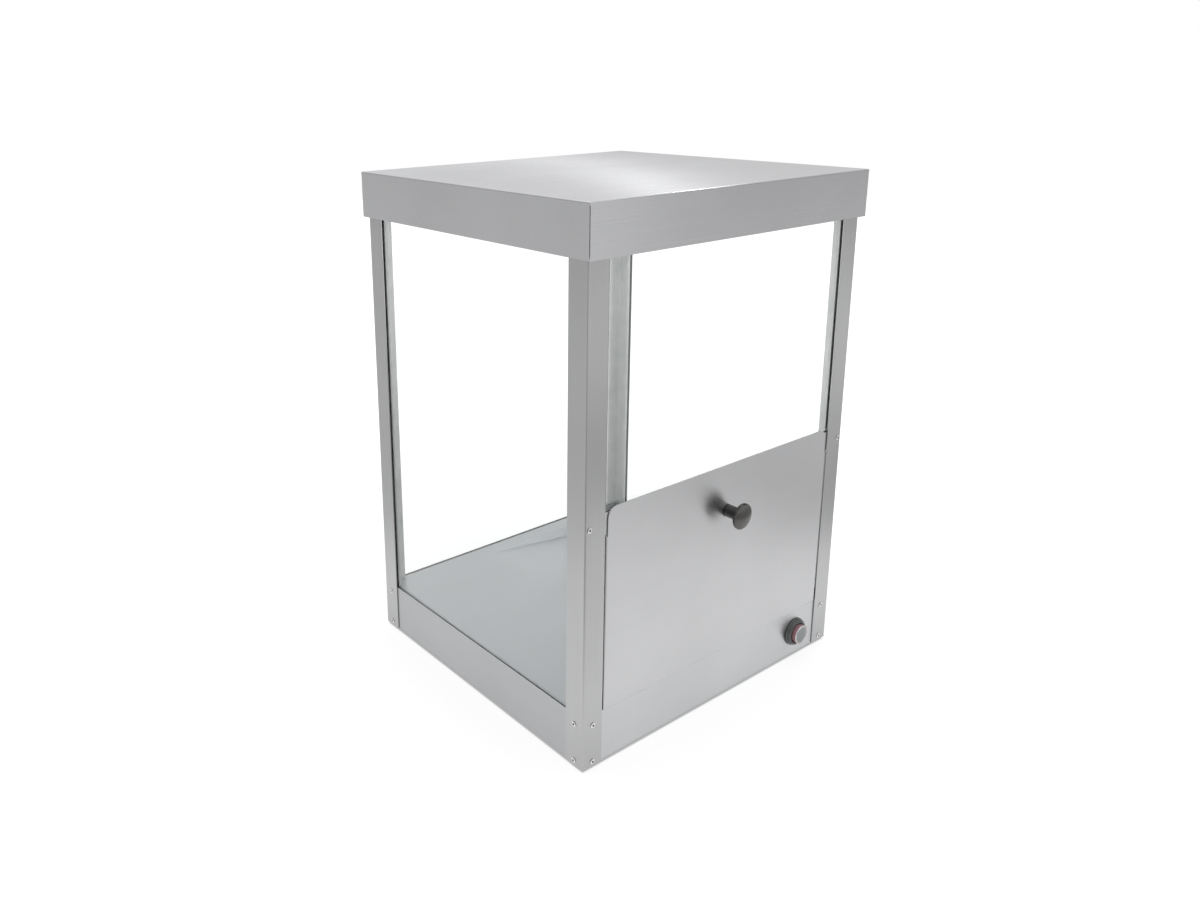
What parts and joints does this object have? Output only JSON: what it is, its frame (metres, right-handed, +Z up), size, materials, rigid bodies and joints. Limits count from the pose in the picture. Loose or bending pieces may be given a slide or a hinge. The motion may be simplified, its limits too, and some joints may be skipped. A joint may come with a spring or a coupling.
{
  "type": "warming cabinet",
  "caption": "Countertop warming cabinet: glass panes between folded steel corner posts, a flanged lid, a drop-down front flap with a knob, and a heated base with a push switch.",
  "frame": {"origin": "middle of the bounding box on the counter, at the undersides of the feet", "axes": "+Z up, -Y towards the flap and the switch, +X to the right of a person facing the flap"},
  "size_m": [0.4, 0.388, 0.559],
  "materials": {
    "sheet_steel": "fine brushed stainless sheet",
    "door_steel": "fine brushed stainless sheet",
    "plain_steel": "galvanised sheet",
    "screw_steel": "plated steel",
    "pane_glass": "clear tempered glass",
    "seal_rubber": "black strip",
    "foot_rubber": "black rubber",
    "dark_chrome": "dark polished metal",
    "black_plastic": "satin black",
    "red_plastic": "clear red",
    "silver_cap": "satin",
    "heater_steel": "heat-darkened sheath",
    "ceramic": "unglazed ceramic",
    "brown_wire": "insulated lead",
    "blue_wire": "insulated lead"
  },
  "bodies": {
    "cabinet": {"skirt_wrap": "sheet_steel", "skirt_front": "sheet_steel", "deck": "sheet_steel", "top_frame": "sheet_steel", "lid": "sheet_steel", "front_rail": "sheet_steel", "hinge_bracket_left": "sheet_steel", "hinge_bracket_right": "sheet_steel", "post_front_left": "sheet_steel", "post_front_right": "sheet_steel", "post_rear_left": "sheet_steel", "post_rear_right": "sheet_steel", "glazing_bead_front_left": "sheet_steel", "glazing_bead_front_right": "sheet_steel", "glazing_bead_rear_left": "sheet_steel", "glazing_bead_rear_right": "sheet_steel", "bottom_plate": "plain_steel", "heater_bracket": "plain_steel", "post_screw_front_left_low": "screw_steel", "side_screw_front_left_low": "screw_steel", "post_screw_front_left_high": "screw_steel", "side_screw_front_left_high": "screw_steel", "post_screw_front_right_low": "screw_steel", "side_screw_front_right_low": "screw_steel", "post_screw_front_right_high": "screw_steel", "side_screw_front_right_high": "screw_steel", "post_screw_rear_left_low": "screw_steel", "side_screw_rear_left_low": "screw_steel", "post_screw_rear_left_high": "screw_steel", "side_screw_rear_left_high": "screw_steel", "post_screw_rear_right_low": "screw_steel", "side_screw_rear_right_low": "screw_steel", "post_screw_rear_right_high": "screw_steel", "side_screw_rear_right_high": "screw_steel", "rail_screw_left": "screw_steel", "rail_screw_right": "screw_steel", "glass_left": "pane_glass", "glass_right": "pane_glass", "glass_front": "pane_glass", "glass_rear": "pane_glass", "glass_seal_left": "seal_rubber", "glass_seal_right": "seal_rubber", "glass_seal_front": "seal_rubber", "glass_seal_rear": "seal_rubber", "foot_front_left": "foot_rubber", "foot_front_right": "foot_rubber", "foot_rear_left": "foot_rubber", "foot_rear_right": "foot_rubber", "switch_housing": "black_plastic", "magnet_catch": "black_plastic", "power_inlet": "black_plastic", "heater_element": "heater_steel", "thermostat": "ceramic", "wire_supply": "brown_wire", "wire_heater": "blue_wire"},
    "door": {"door_panel": "door_steel", "door_knob": "dark_chrome", "knob_screw": "screw_steel"},
    "switch": {"switch_button": "red_plastic", "switch_cap": "silver_cap"}
  },
  "joints": [
    {"name": "door_hinge", "type": "hinge", "parent": "cabinet", "child": "door", "pos_m": [0, -0.168, 0.0695], "axis": [1, 0, 0], "range_deg": [0, 90]},
    {"name": "switch_press", "type": "slide", "parent": "cabinet", "child": "switch", "axis": [0, 1, 0], "range_m": [0, 0.003], "stiffness_N_per_m": 300}
  ]
}
